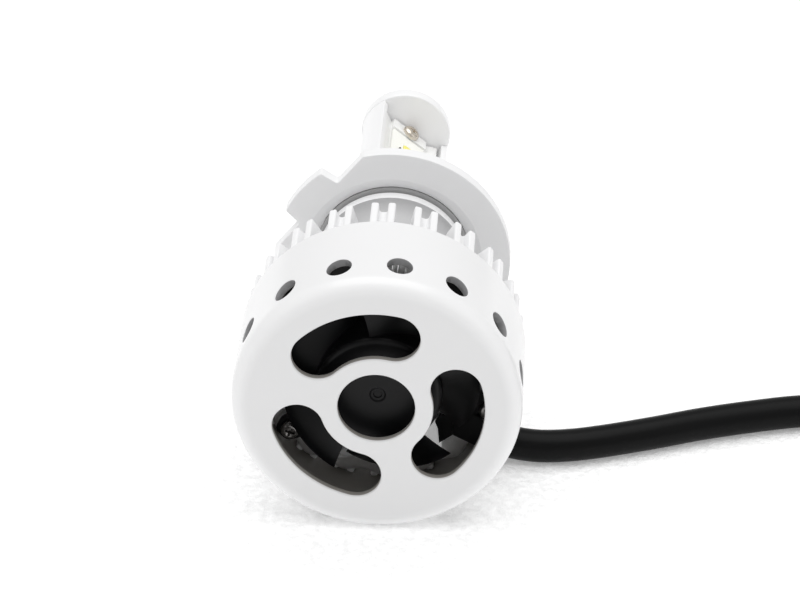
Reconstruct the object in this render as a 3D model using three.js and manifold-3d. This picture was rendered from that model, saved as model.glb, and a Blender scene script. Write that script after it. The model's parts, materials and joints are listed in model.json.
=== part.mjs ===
// LED headlight bulb with a rear fan, a forked-fin heat sink, a keyed mounting collar, an in-line
// driver and a two-blade plug. Millimetres, +Z up. The bulb lies on its fan cover with its axis along
// +Y, rear face towards -Y, and the origin is on the surface below the middle of the bulb.
import * as THREE from "three";
import { mergeVertices } from "three/addons/utils/BufferGeometryUtils.js";
import Module from "manifold-3d";

const wasm = await Module();
wasm.setup();

// ---- driving dimensions. Lengths along the bulb are measured from the rear face of the cover ----
const BULB_LENGTH = 81.6;
const ROUND = 30; // facets of the large turned parts
const SMALL_ROUND = 20;

const COVER = { radius: 20, length: 16.8, wall: 1.2, edge: 2.1, holeRadius: 5.32 };
const SLOT = { midRadius: 11.33, halfWidth: 3.52, halfSpan: 29.05, first: 106.2, count: 3 };
const VENT = { radius: 1.89, y: 4.99, first: 106.2, count: 15 };

const SINK = { rear: 11.3, front: 22.9, coreRadius: 10.2, plateRadius: 16.4, plate: 2, innerRadius: 18.5 };
const FORK = { count: 20, first: 90.5, tipRadius: 19.5, crotch: 18, tip: 1.72, tipInner: 0.67, stem: 0.62 };
const CABLE_ANGLE = FORK.first - 8 * (360 / FORK.count); // the lead leaves where one fork is left out
const CABLE_Y = 19.4;
const CAVITY = { radius: 5.6, rear: 13.8 };

const FAN = { hubRadius: 8.9, rear: 3.5, rim: 9.4, tipRadius: 14, blades: 5, first: -47, sweep: -60 };
const FAN_SCREW = { angles: [-141.5, -21.5, 98.5], pitchRadius: 16.2 };

const NECK = { rear: 23.1, flange: 11.8, waist: 7.4, hub: 10.8, boss: 9.6, front: 48.3, bore: 3 };
const NECK_SCREW = { first: CABLE_ANGLE + 60, pitchRadius: 9, count: 3 };
const COLLAR = { rear: 41, thickness: 2, radius: 17.2, bore: 11.6, bevel: 13.1, flat: 13.85, tabHalf: 4.4 };
const KEY_ANGLE = 140.6; // direction of the collar's tab, and the plane of the light blade

const SLEEVE = { radius: 6.75, inner: 5.8, rear: 48.5, windowRear: 53, front: 78.9, postHalf: 23 };
const TIP = { radius: 6.85, rear: 79, edge: 0.7 };
const BLADE = { rear: 48.7, front: 78.7, halfWidth: 5.2, floorHalf: 3.15, floor: 0.55, rim: 1.45 };
const BOARD = { halfWidth: 3, low: 0.65, high: 1.05, rear: 49.6, front: 76 };
const CHIPS = { count: 3, first: 62.2, pitch: 4, length: 3.4, halfWidth: 1.1 };

const LEAD_RADIUS = 2.35;
const DRIVER = { x: 126, rear: 4.5, length: 46, width: 26, height: 15, wall: 1.6, cap: 2.5, gland: 6, leadZ: 4.8 };
const PLUG = { x: 85, top: 35, length: 18, width: 15, height: 9, blade: 8.5, seal: 5, leadZ: 4.5 };

// ---- materials ----
const finish = (color, roughness, metalness = 0) => new THREE.MeshStandardMaterial({ color, roughness, metalness });
const WHITE_PAINT = finish(0xf1f2f4, 0.42);
const WHITE_METAL = finish(0xe9eaec, 0.4, 0.25);
const GREY_METAL = finish(0xcfd0d2, 0.38, 0.55);
const BARE_METAL = finish(0xb4b6b9, 0.32, 0.9);
const STEEL = finish(0x9da0a4, 0.28, 1);
const BLACK_PLASTIC = finish(0x17181a, 0.4);
const BLACK_RUBBER = finish(0x0f0f11, 0.55);
const GREY_RUBBER = finish(0x8d8e90, 0.55);
const DARK_METAL = finish(0x25272a, 0.45, 0.6);
const BOARD_WHITE = finish(0xf7f7f0, 0.5);
const BOARD_GREEN = finish(0x1c4a32, 0.5);
const PHOSPHOR = finish(0xf2dc2e, 0.45);
const COPPER = finish(0xb8683a, 0.35, 0.9);
const BRASS = finish(0xc2a35a, 0.3, 0.9);
const MAGNET = finish(0x3a3a3d, 0.6, 0.2);
const RED = finish(0xa01818, 0.5);
const SLEEVE_WRAP = finish(0x20242e, 0.4);

// ---- shape helpers ----
const radians = THREE.MathUtils.degToRad;
const polar = (radius, degrees) => [radius * Math.cos(radians(degrees)), radius * Math.sin(radians(degrees))];

function arc(cx, cy, radius, from, to, steps) {
  return Array.from({ length: steps + 1 }, (_, i) => {
    const [x, y] = polar(radius, from + ((to - from) * i) / steps);
    return [cx + x, cy + y];
  });
}

// A closed geometry as a solid, with shared corners merged and its faces turned outwards.
function solid(geometry) {
  const bare = geometry.clone();
  bare.deleteAttribute("normal");
  bare.deleteAttribute("uv");
  const merged = mergeVertices(bare, 1e-4);
  const points = merged.attributes.position.array;
  const corners = merged.index.array;
  const kept = [];
  let volume = 0;
  for (let i = 0; i < corners.length; i += 3) {
    const [a, b, c] = [corners[i], corners[i + 1], corners[i + 2]];
    if (a === b || b === c || c === a) continue;
    kept.push(a, b, c);
    const [p, q, r] = [a, b, c].map((k) => new THREE.Vector3().fromArray(points, 3 * k));
    volume += p.dot(q.cross(r));
  }
  if (volume < 0) kept.reverse();
  return new wasm.Manifold(
    new wasm.Mesh({ numProp: 3, vertProperties: Float32Array.from(points), triVerts: Uint32Array.from(kept) }),
  );
}

// A profile of [radius, y] points turned about the Y axis. It starts and ends on the axis, or is a ring.
function turned(profile, facets = ROUND) {
  const closed = profile[0][0] > 0 ? [...profile, profile[0]] : profile;
  return solid(new THREE.LatheGeometry(closed.map(([r, y]) => new THREE.Vector2(r, y)), facets));
}

// A ring or tube between two radii.
const ring = (inner, outer, from, to, facets = ROUND) =>
  turned([[inner, from], [outer, from], [outer, to], [inner, to]], facets);

const disc = (radius, from, to, facets = ROUND) => turned([[0, from], [radius, from], [radius, to], [0, to]], facets);

// An outline of [x, z] points extruded along Y.
function prism(outline, from, to) {
  const shape = new THREE.Shape(outline.map(([x, z]) => new THREE.Vector2(x, z)));
  const geometry = new THREE.ExtrudeGeometry(shape, { depth: to - from, bevelEnabled: false });
  return solid(geometry.rotateX(Math.PI / 2).translate(0, to, 0));
}

// A box between two corners.
function block(low, high) {
  const size = high.map((v, i) => v - low[i]);
  return solid(new THREE.BoxGeometry(...size).translate(...low.map((v, i) => v + size[i] / 2)));
}

const rounded = (halfX, halfZ, corner, steps = 3) => [
  ...arc(halfX - corner, halfZ - corner, corner, 0, 90, steps),
  ...arc(-halfX + corner, halfZ - corner, corner, 90, 180, steps),
  ...arc(-halfX + corner, -halfZ + corner, corner, 180, 270, steps),
  ...arc(halfX - corner, -halfZ + corner, corner, 270, 360, steps),
];

// A round bar about the Y axis, moved out to a polar place around the bulb's axis.
function barAt(radius, pitchRadius, degrees, from, to, facets = 16) {
  const [x, z] = polar(pitchRadius, degrees);
  return disc(radius, from, to, facets).translate([x, 0, z]);
}

// Turns a solid made along +Y so that it points out from the bulb's axis at an angle, at a height y.
const outwards = (part, degrees, y) => part.rotate([0, 0, -90]).rotate([0, -degrees, 0]).translate([0, y, 0]);

// A round tube along a smooth curve through the points.
function tubeAlong(points, radius, steps, sides) {
  const path = new THREE.CatmullRomCurve3(points.map((p) => new THREE.Vector3(...p)), false, "centripetal");
  const section = new THREE.Shape(arc(0, 0, radius, 0, 360 - 360 / sides, sides - 1).map((p) => new THREE.Vector2(...p)));
  return solid(new THREE.ExtrudeGeometry(section, { steps, extrudePath: path }));
}

const union = (parts) => wasm.Manifold.union(parts);

function mesh(name, part, material) {
  const data = part.getMesh();
  const geometry = new THREE.BufferGeometry();
  geometry.setAttribute("position", new THREE.BufferAttribute(Float32Array.from(data.vertProperties), 3));
  geometry.setIndex([...data.triVerts]);
  geometry.computeVertexNormals();
  const made = new THREE.Mesh(geometry, material);
  made.name = name;
  return made;
}

// ---- rear cover: a cup with three kidney slots, a centre hole and a ring of side vents ----
function kidney(midRadius, halfWidth, halfSpan, centre) {
  const [ex, ez] = polar(midRadius, centre + halfSpan);
  const [sx, sz] = polar(midRadius, centre - halfSpan);
  return [
    ...arc(0, 0, midRadius + halfWidth, centre - halfSpan, centre + halfSpan, 8),
    ...arc(ex, ez, halfWidth, centre + halfSpan, centre + halfSpan + 180, 6).slice(1, -1),
    ...arc(0, 0, midRadius - halfWidth, centre + halfSpan, centre - halfSpan, 5),
    ...arc(sx, sz, halfWidth, centre - halfSpan + 180, centre - halfSpan + 360, 6).slice(1, -1),
  ];
}

function fanCover() {
  const { radius, length, wall, edge, holeRadius } = COVER;
  const inner = radius - wall;
  let cup = turned([
    [holeRadius, 0],
    ...arc(radius - edge, edge, edge, -90, 0, 3),
    [radius, length],
    [inner, length],
    [inner, wall + 0.9],
    [inner - 0.9, wall],
    [holeRadius, wall],
  ], 48);
  for (let i = 0; i < SLOT.count; i++) {
    const centre = SLOT.first + (i * 360) / SLOT.count;
    cup = cup.subtract(prism(kidney(SLOT.midRadius, SLOT.halfWidth, SLOT.halfSpan, centre), -1, wall + 1));
  }
  for (let i = 0; i < VENT.count; i++) {
    const drill = disc(VENT.radius, radius - 5, radius + 2, 10);
    cup = cup.subtract(outwards(drill, VENT.first + (i * 360) / VENT.count, VENT.y));
  }
  return cup;
}

// ---- heat sink: a round core with a rear plate and forked fins ----
function forkOutline(degrees) {
  const { tipRadius, crotch, tip, tipInner, stem } = FORK;
  const half = [[SINK.coreRadius - 1, stem], [14.2, stem], [16.6, tip - 0.12], [tipRadius, tip], [tipRadius, tipInner], [crotch, stem]];
  const outline = [...half, ...half.map(([r, t]) => [r, -t]).reverse()];
  const [c, s] = polar(1, degrees);
  return outline.map(([r, t]) => [r * c - t * s, r * s + t * c]);
}

function heatSink() {
  const pitch = 360 / FORK.count;
  const forks = [];
  for (let i = 0; i < FORK.count; i++) {
    const degrees = FORK.first - i * pitch;
    if (degrees !== CABLE_ANGLE) forks.push(prism(forkOutline(degrees), SINK.rear, SINK.front));
  }
  const lugs = FAN_SCREW.angles.map((a) => barAt(2.1, FAN_SCREW.pitchRadius, a, SINK.rear, 15.2));
  let sink = union([
    disc(SINK.coreRadius, SINK.rear, SINK.front),
    disc(SINK.plateRadius, SINK.rear, SINK.rear + SINK.plate),
    ...forks,
    ...lugs,
  ]);
  sink = sink.subtract(ring(SINK.innerRadius, 24, SINK.rear - 1, COVER.length + 0.3, 48));
  sink = sink.subtract(disc(CAVITY.radius, CAVITY.rear, SINK.front + 1, SMALL_ROUND));
  sink = sink.subtract(outwards(disc(3.1, 3, 20, 16), CABLE_ANGLE, CABLE_Y));
  sink = sink.subtract(barAt(0.9, 4.4, CABLE_ANGLE, 10, 15, 10));
  for (const a of FAN_SCREW.angles) sink = sink.subtract(barAt(0.85, FAN_SCREW.pitchRadius, a, 10, 14.9, 10));
  return neckScrewAngles().reduce((left, a) => left.subtract(barAt(0.9, NECK_SCREW.pitchRadius, a, 19.6, 24, 10)), sink);
}

// ---- fan: rotor, magnet, shaft, bearing, stator and base ----
// One blade is a twisted plate from the hub outwards that also moves along the axis as it sweeps round.
function fanBlade(first) {
  const { hubRadius, tipRadius, sweep } = FAN;
  const [rearY, frontY, thickness, steps] = [4, 9.1, 0.6, 6];
  const positions = [];
  const faces = [];
  for (let i = 0; i <= steps; i++) {
    const share = i / steps;
    const y = rearY + (frontY - rearY) * share;
    for (const [radius, offset] of [[hubRadius - 0.5, 0], [tipRadius, 0], [tipRadius, thickness], [hubRadius - 0.5, thickness]]) {
      const [x, z] = polar(radius, first + sweep * share);
      positions.push(x, y + offset, z);
    }
  }
  const quad = (a, b, c, d) => faces.push(a, b, c, a, c, d);
  for (let i = 0; i < steps; i++) {
    for (let k = 0; k < 4; k++) {
      const next = (k + 1) % 4;
      quad(4 * i + k, 4 * i + next, 4 * i + 4 + next, 4 * i + 4 + k);
    }
  }
  quad(3, 2, 1, 0);
  quad(4 * steps, 4 * steps + 1, 4 * steps + 2, 4 * steps + 3);
  const geometry = new THREE.BufferGeometry();
  geometry.setAttribute("position", new THREE.Float32BufferAttribute(positions, 3));
  geometry.setIndex(faces);
  return solid(geometry);
}

function fanRotor() {
  const { hubRadius, rear, rim, blades, first } = FAN;
  const hub = turned([
    [0, rear + 0.35],
    [0.9, rear + 0.35],
    [1.1, rear],
    ...arc(hubRadius - 0.7, rear + 0.7, 0.7, -90, 0, 3),
    [hubRadius, rim],
    [hubRadius - 0.85, rim],
    [hubRadius - 0.85, rear + 1.1],
    [2, rear + 1.1],
    [2, rear + 1.9],
    [0.95, rear + 1.9],
    [0.95, rear + 0.75],
    [0, rear + 0.75],
  ]);
  const vanes = Array.from({ length: blades }, (_, i) => fanBlade(first + (i * 360) / blades));
  return union([hub, ...vanes]);
}

function statorCore() {
  const arms = [0, 90, 180, 270].map((a) => {
    const arm = block([2.8, 5.9, -0.8], [6, 8.3, 0.8]);
    const shoe = prism([...arc(0, 0, 6.5, -30, 30, 6), ...arc(0, 0, 5.5, 30, -30, 6)], 5.9, 8.3);
    return union([arm, shoe]).rotate([0, a, 0]);
  });
  return union([ring(2.6, 3.3, 5.9, 8.3, SMALL_ROUND), ...arms]);
}

const statorCoil = (degrees) =>
  block([3.4, 5.2, -1.85], [5.05, 9, 1.85]).subtract(block([3, 5.75, -0.95], [6, 8.45, 0.95])).rotate([0, degrees, 0]);

function fanBase() {
  const legs = FAN_SCREW.angles.map((a) => {
    const [c, s] = polar(1, a);
    const side = [[7.5, -1.7], [16.2, -1.7], [16.2, 1.7], [7.5, 1.7]].map(([r, t]) => [r * c - t * s, r * s + t * c]);
    return union([prism(side, 10.15, 11), barAt(2, FAN_SCREW.pitchRadius, a, 10.15, 11)]);
  });
  const hub = turned([[1.95, 5.4], [2.45, 5.4], [2.45, 9.8], [8.3, 9.8], [8.3, 11], [1.95, 11]]);
  let base = union([hub, ...legs]);
  for (const a of FAN_SCREW.angles) base = base.subtract(barAt(0.95, FAN_SCREW.pitchRadius, a, 9, 12, 10));
  return base.subtract(barAt(0.8, 4.4, CABLE_ANGLE, 9, 12, 10));
}

// A pan-head screw along the axis: its head starts at y and its shank runs on towards +Y or -Y.
function screw(head, shank, headHeight, length) {
  return turned([
    [0, -headHeight],
    [head, -headHeight],
    [head, 0],
    [shank, 0],
    [shank, length],
    [0, length],
  ], 8);
}

// ---- front body: flange, waist, flared hub with a seal groove, and the boss that enters the lamp ----
const neckScrewAngles = () =>
  Array.from({ length: NECK_SCREW.count }, (_, i) => NECK_SCREW.first + (i * 360) / NECK_SCREW.count);

function neck() {
  const { rear, flange, waist, hub, boss, front, bore } = NECK;
  const body = turned([
    [bore, rear],
    [flange, rear],
    [flange, rear + 1.9],
    [waist, rear + 1.9],
    [waist, 35],
    ...arc(waist + 3.1, 35.2, 3.1, 180, 105, 3).map(([r, y]) => [r, 35.2 + (y - 35.2) * 1.5]),
    [hub - 0.3, 39.95],
    [hub, 40.2],
    [hub, 41.3],
    [10.3, 41.4],
    [10.3, 42.6],
    [hub, 42.7],
    [hub, 43.9],
    [boss, 43.9],
    [boss, front - 0.8],
    [boss - 0.9, front],
    [bore, front],
  ]);
  return neckScrewAngles().reduce((left, a) => left.subtract(barAt(0.95, NECK_SCREW.pitchRadius, a, 22, 26, 10)), body);
}

// ---- collar: a flat ring with one straight side that carries the locating tab, on local -X ----
function mountCollar() {
  const { rear, thickness, radius, bore, bevel, flat, tabHalf } = COLLAR;
  const flatEnd = THREE.MathUtils.radToDeg(Math.acos(flat / radius));
  const tabEnd = THREE.MathUtils.radToDeg(Math.asin((tabHalf - 0.3) / radius));
  const outline = [
    ...arc(0, 0, radius, -180 + flatEnd, 180 - flatEnd, 30),
    [-flat, tabHalf],
    ...arc(0, 0, radius, 180 - tabEnd, 180 + tabEnd, 4),
    [-flat, -tabHalf],
  ];
  const hole = turned([[0, rear - 0.1], [bevel + 0.15, rear - 0.1], [bore, rear + 1], [bore, rear + 3], [0, rear + 3]]);
  return prism(outline, rear, rear + thickness).subtract(hole);
}

// ---- lamp: sleeve with two windows, tip cap, light blade with a board and a row of chips on each face ----
function lampSleeve() {
  const { radius, inner, rear, windowRear, front, postHalf } = SLEEVE;
  const cut = (from, to) => prism([[0, 0], ...arc(0, 0, radius + 2, from, to, 8)], windowRear, front + 1);
  return ring(inner, radius, rear, front)
    .subtract(cut(postHalf, 180 - postHalf))
    .subtract(cut(180 + postHalf, 360 - postHalf));
}

function lightBlade() {
  const { rear, front, halfWidth, floorHalf, floor, rim } = BLADE;
  const upper = [[halfWidth, rim], [floorHalf, floor], [-floorHalf, floor], [-halfWidth, rim]];
  const outline = [...upper, [-halfWidth - 0.2, 0], ...upper.map(([x, z]) => [x, -z]).reverse(), [halfWidth + 0.2, 0]];
  return prism(outline, rear, front).subtract(solid(
    new THREE.CylinderGeometry(0.75, 0.75, 4, 10).rotateX(Math.PI / 2).translate(0, 77.3, 0),
  ));
}

function chipRow() {
  const { count, first, pitch, length, halfWidth } = CHIPS;
  const base = block([-1.5, first - 2.2, 1.12], [1.5, first + pitch * (count - 1) + 2.2, 1.32]);
  const chips = Array.from({ length: count }, (_, i) => {
    const y = first + i * pitch;
    return block([-halfWidth, y - length / 2, 1.2], [halfWidth, y + length / 2, 1.75]);
  });
  return union([base, ...chips]);
}

// ---- cords. Each route is a list of points, mostly on the surface that the bulb lies on ----
const LYING = LEAD_RADIUS + 0.03;
const EXIT_BEND = 18.8;

// Height of a lead's middle at a share of its smooth climb from the surface.
const rising = (height, share) => LYING + ((height - LYING) * (1 - Math.cos(Math.PI * Math.min(1, Math.max(0, share))))) / 2;

const LAMP_CABLE_ROUTE = [
  ...arc(22.5, LYING + EXIT_BEND, EXIT_BEND, -143.5, -90, 6).map(([x, z], i) => [x, -21.4 - 0.06 * i, z]),
  [26.4, -21.35, LYING],
  [30.6, -20.25, LYING],
  [38.4, -17.5, LYING],
  [45.2, -14.8, LYING],
  [52.3, -12.5, LYING],
  [59.7, -10.6, LYING],
  ...arc(67.3, -31.9, 22, 90, 38, 5).map(([x, y]) => [x, y, LYING]),
  ...arc(DRIVER.x - 22, -7.7, 22, -142, 0, 12).map(([x, y], i) => [x, y, rising(DRIVER.leadZ, (i - 3) / 10)]),
  [DRIVER.x, -6, DRIVER.leadZ],
  [DRIVER.x, -4.45, DRIVER.leadZ],
];
const PLUG_CABLE_ROUTE = [
  [DRIVER.x, 59.4, DRIVER.leadZ],
  ...arc(PLUG.x + 20.5, 62, 20.5, 0, 180, 14).map(([x, y], i) => [x, y, rising(DRIVER.leadZ, 1 - (i + 0.3) / 8)]),
  ...[57.5, 53, 48.5, 44].map((y) => [PLUG.x, y, rising(PLUG.leadZ, (62 - y) / 19)]),
  [PLUG.x, 40.35, PLUG.leadZ],
];

// ---- driver: an extruded tube with two end caps, cable glands, a board and its parts ----
function driverHousing() {
  const { rear, length, width, height, wall } = DRIVER;
  const shell = prism(rounded(width / 2, height / 2, 2), rear, rear + length);
  const inside = prism(rounded(width / 2 - wall, height / 2 - wall, 1), rear - 1, rear + length + 1);
  let housing = shell.subtract(inside);
  for (const x of [-7.5, -4.5, -1.5, 1.5, 4.5, 7.5]) {
    housing = housing.subtract(block([x - 0.6, rear - 1, height / 2 - 0.7], [x + 0.6, rear + length + 1, height]));
  }
  return housing.translate([DRIVER.x, 0, height / 2]);
}

function driverCap(from, to) {
  const { width, height, x, leadZ } = DRIVER;
  let cap = prism(rounded(width / 2 - 0.1, height / 2 - 0.1, 2), from, to).translate([x, 0, height / 2]);
  for (const side of [-1, 1]) {
    cap = cap.subtract(disc(0.95, from - 1, to + 1, 10).translate([x + side * 10, 0, height / 2 - side * 4.6]));
  }
  return cap.subtract(disc(3.2, from - 1, to + 1, 16).translate([x, 0, leadZ]));
}

// A gland along +Y: a plug in the wall, a collar outside it and a tapered sleeve along the lead.
const gland = (plugRadius, plugLength, collarRadius, endRadius, length) =>
  turned([
    [0, -plugLength],
    [plugRadius, -plugLength],
    [plugRadius, 0.1],
    [collarRadius, 0.1],
    [collarRadius, 1],
    [Math.min(endRadius + 0.7, collarRadius - 0.1), 1.3],
    [endRadius, length],
    [0, length],
  ], 16);

function plugHousing() {
  const { x, top, length, width, height, leadZ } = PLUG;
  const body = prism(rounded(width / 2, height / 2, 1.2, 2), top - length, top).translate([x, 0, height / 2]);
  const grip = prism(rounded(width / 2 + 0.8, height / 2 - 1.4, 1, 2), top - 8, top - 2).translate([x, 0, height / 2]);
  let housing = union([body, grip]).subtract(disc(2.7, top - 4, top + 1, 16).translate([x, 0, leadZ]));
  for (const side of [-1, 1]) {
    const slot = block([-0.65, top - length - 1, -3.4], [0.65, top - length + 5.2, 3.4]);
    housing = housing.subtract(slot.translate([x + side * 4, 0, height / 2]));
  }
  return housing;
}

function plugTerminal(side) {
  const { x, top, length, height, blade } = PLUG;
  const end = top - length - blade;
  const half = 3.15;
  const outline = [[-half, end + 1.2], [-half + 1.2, end], [half - 1.2, end], [half, end + 1.2], [half, top - length + 5], [-half, top - length + 5]];
  const shape = new THREE.Shape(outline.map((p) => new THREE.Vector2(...p)));
  const plate = new THREE.ExtrudeGeometry(shape, { depth: 0.8, bevelEnabled: false }).translate(0, 0, -0.4);
  return solid(plate.rotateY(Math.PI / 2)).translate([x + side * 4, 0, height / 2]);
}

// ---- assembly ----
function bulbBody() {
  const group = new THREE.Group();
  const [cableX, cableZ] = polar(1, CABLE_ANGLE);
  const wire = (offset, reach) => [
    [5.9 * cableX, CABLE_Y + offset, 5.9 * cableZ],
    [3 * cableX, CABLE_Y + offset + 0.6, 3 * cableZ],
    [offset, CABLE_Y + 4.5, -0.6],
    [offset, 30, 0],
    [offset, reach, 0],
  ];
  group.add(
    mesh("fan_cover", fanCover(), WHITE_PAINT),
    mesh("heat_sink", heatSink(), WHITE_METAL),
    mesh("neck", neck(), WHITE_METAL),
    mesh("cable_grommet", outwards(gland(2.8, 3.9, 2.95, 2.6, 2).translate([0, 10.2, 0]), CABLE_ANGLE, CABLE_Y), BLACK_RUBBER),
    mesh("lamp_lead_red", tubeAlong(wire(0.85, 48.5), 0.55, 12, 8), RED),
    mesh("lamp_lead_black", tubeAlong(wire(-0.85, 48.5), 0.55, 12, 8), BLACK_RUBBER),
    mesh("fan_lead", barAt(0.5, 4.4, CABLE_ANGLE, 9.8, 15.8, 8), BLACK_RUBBER),
  );
  neckScrewAngles().forEach((a, i) => {
    const [x, z] = polar(NECK_SCREW.pitchRadius, a);
    const part = screw(1.35, 0.75, 1.1, 4.8).rotate([180, 0, 0]).translate([x, NECK.rear + 1.95, z]);
    group.add(mesh(`neck_screw_${i + 1}`, part, STEEL));
  });
  return group;
}

function fanParts() {
  const group = new THREE.Group();
  group.add(
    mesh("fan_rotor", fanRotor(), BLACK_PLASTIC),
    mesh("rotor_magnet", ring(6.95, 7.9, 4.8, 9), MAGNET),
    mesh("fan_shaft", disc(0.88, 4.35, 10.6, 12), STEEL),
    mesh("shaft_clip", ring(0.95, 1.7, 9.95, 10.3, 12), STEEL),
    mesh("fan_bearing", ring(1, 1.85, 5.6, 9.5, 16), BRASS),
    mesh("fan_base", fanBase(), BLACK_PLASTIC),
    mesh("fan_circuit_board", ring(2.75, 7.5, 9.15, 9.65, SMALL_ROUND).subtract(barAt(0.7, 4.4, CABLE_ANGLE, 9, 10, 8)), BOARD_GREEN),
    mesh("stator_core", statorCore(), BARE_METAL),
  );
  [0, 90, 180, 270].forEach((a, i) => group.add(mesh(`stator_coil_${i + 1}`, statorCoil(a), COPPER)));
  FAN_SCREW.angles.forEach((a, i) => {
    const [x, z] = polar(FAN_SCREW.pitchRadius, a);
    group.add(mesh(`fan_screw_${i + 1}`, screw(1.35, 0.7, 1, 4).translate([x, 10.1, z]), STEEL));
  });
  return group;
}

// Pieces that are keyed to the tab are made with the tab on local -X and the upper light face on +Z.
function lampParts() {
  const group = new THREE.Group();
  group.rotation.y = radians(180 - KEY_ANGLE);
  const board = block([-BOARD.halfWidth, BOARD.rear, BOARD.low], [BOARD.halfWidth, BOARD.front, BOARD.high]);
  const tip = turned([
    [0, TIP.rear],
    [TIP.radius, TIP.rear],
    ...arc(TIP.radius - TIP.edge, BULB_LENGTH - TIP.edge, TIP.edge, 0, 90, 3),
    [0, BULB_LENGTH],
  ]);
  const groove = turned(arc(10.95, COLLAR.rear + 1, 0.5, 0, 315, 7), 32);
  group.add(
    mesh("mount_collar", mountCollar(), GREY_METAL),
    mesh("collar_o_ring", groove, GREY_RUBBER),
    mesh("lamp_sleeve", lampSleeve(), GREY_METAL),
    mesh("tip_cap", tip, GREY_METAL),
    mesh("led_blade", lightBlade(), GREY_METAL),
    mesh("blade_screw", screw(1.3, 0.6, 0.8, 1).rotate([-90, 0, 0]).translate([0, 77.3, 0.62]), BRASS),
    mesh("led_board_upper", board, BOARD_WHITE),
    mesh("led_board_lower", board.rotate([0, 180, 0]), BOARD_WHITE),
    mesh("led_row_upper", chipRow(), PHOSPHOR),
    mesh("led_row_lower", chipRow().rotate([0, 180, 0]), PHOSPHOR),
  );
  return group;
}

function cordParts() {
  const group = new THREE.Group();
  const { x, rear, length, cap, gland: reach, leadZ, height } = DRIVER;
  const end = rear + length;
  const driverGland = gland(3.1, cap, 4.4, 2.9, reach);
  group.add(
    mesh("lamp_cable", tubeAlong(LAMP_CABLE_ROUTE, LEAD_RADIUS, 36, 10), BLACK_RUBBER),
    mesh("driver_housing", driverHousing(), DARK_METAL),
    mesh("driver_cap_in", driverCap(rear - cap - 0.1, rear - 0.1), BLACK_PLASTIC),
    mesh("driver_cap_out", driverCap(end + 0.1, end + cap + 0.1), BLACK_PLASTIC),
    mesh("driver_gland_in", driverGland.rotate([180, 0, 0]).translate([x, rear - cap - 0.1, leadZ]), BLACK_RUBBER),
    mesh("driver_gland_out", driverGland.translate([x, end + cap + 0.1, leadZ]), BLACK_RUBBER),
    mesh("driver_board", block([x - 10.8, rear + 1, 2.2], [x + 10.8, end - 1, 3.4]), BOARD_GREEN),
    mesh("driver_inductor", ring(1.8, 4.6, 0, 5, 20).rotate([90, 0, 0]).translate([x - 4.5, 19, 3.7]), COPPER),
    mesh("driver_capacitor", disc(3.1, 0, 8.4, 16).rotate([90, 0, 0]).translate([x + 5.5, 32, 3.7]), SLEEVE_WRAP),
    mesh("plug_cable", tubeAlong(PLUG_CABLE_ROUTE, LEAD_RADIUS, 20, 10), BLACK_RUBBER),
    mesh("plug_housing", plugHousing(), BLACK_PLASTIC),
    mesh("plug_seal", gland(2.5, 3.6, 3.4, 2.6, PLUG.seal).translate([PLUG.x, PLUG.top, PLUG.leadZ]), BLACK_RUBBER),
    mesh("plug_terminal_1", plugTerminal(-1), BRASS),
    mesh("plug_terminal_2", plugTerminal(1), BRASS),
  );
  let count = 0;
  for (const [y, turn] of [[rear - cap - 0.2, 0], [end + cap + 0.2, 180]]) {
    for (const side of [-1, 1]) {
      count += 1;
      const part = screw(1.5, 0.75, 0.9, 2.2).rotate([turn, 0, 0]);
      group.add(mesh(`driver_screw_${count}`, part.translate([x + side * 10, y, height / 2 - side * 4.6]), STEEL));
    }
  }
  return group;
}

const bulb = new THREE.Group();
bulb.position.set(0, -BULB_LENGTH / 2, COVER.radius);
bulb.add(bulbBody(), fanParts(), lampParts());

const part = new THREE.Group();
part.add(bulb, cordParts());

export default part;
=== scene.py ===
# LED headlight bulb on a white sheet. Lengths in the shape code are millimetres; meshes are in metres.
import json
import math

import bmesh
import bpy
from mathutils import Matrix, Vector
from mathutils.geometry import tessellate_polygon

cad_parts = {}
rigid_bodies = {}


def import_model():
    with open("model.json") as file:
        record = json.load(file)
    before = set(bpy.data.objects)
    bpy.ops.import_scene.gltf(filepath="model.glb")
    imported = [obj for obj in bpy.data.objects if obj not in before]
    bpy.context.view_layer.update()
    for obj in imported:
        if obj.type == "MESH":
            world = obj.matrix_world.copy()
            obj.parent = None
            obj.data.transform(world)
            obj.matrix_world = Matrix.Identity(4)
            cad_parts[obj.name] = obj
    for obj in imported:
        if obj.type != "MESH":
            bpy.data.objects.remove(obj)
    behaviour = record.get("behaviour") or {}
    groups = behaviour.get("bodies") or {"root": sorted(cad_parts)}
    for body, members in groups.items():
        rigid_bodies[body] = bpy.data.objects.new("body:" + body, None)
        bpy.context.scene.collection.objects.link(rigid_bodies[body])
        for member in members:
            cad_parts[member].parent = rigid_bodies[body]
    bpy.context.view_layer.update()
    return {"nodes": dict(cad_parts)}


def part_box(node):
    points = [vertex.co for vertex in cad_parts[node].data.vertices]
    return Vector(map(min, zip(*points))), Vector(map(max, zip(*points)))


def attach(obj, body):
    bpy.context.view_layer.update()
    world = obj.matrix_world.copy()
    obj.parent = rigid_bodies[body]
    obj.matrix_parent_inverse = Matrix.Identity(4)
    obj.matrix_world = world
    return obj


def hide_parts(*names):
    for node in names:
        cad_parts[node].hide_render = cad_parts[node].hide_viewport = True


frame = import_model()
nodes = frame["nodes"]

MM = 0.001
cover_low, cover_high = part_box("fan_cover")
REAR = cover_low[1]
AXIS_HEIGHT = 0.5 * (cover_low[2] + cover_high[2])
TAB_ANGLE = 140.6
KEY_TURN = math.radians(180 - TAB_ANGLE)


# ---------------------------------------------------------------- places
def on_table(p):
    """From millimetres on the sheet."""
    return Vector(p) * MM


def on_bulb(p):
    """From millimetres along the bulb: x and z from its axis, y from the rear face of its cover."""
    return Vector((p[0] * MM, REAR + p[1] * MM, AXIS_HEIGHT + p[2] * MM))


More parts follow.
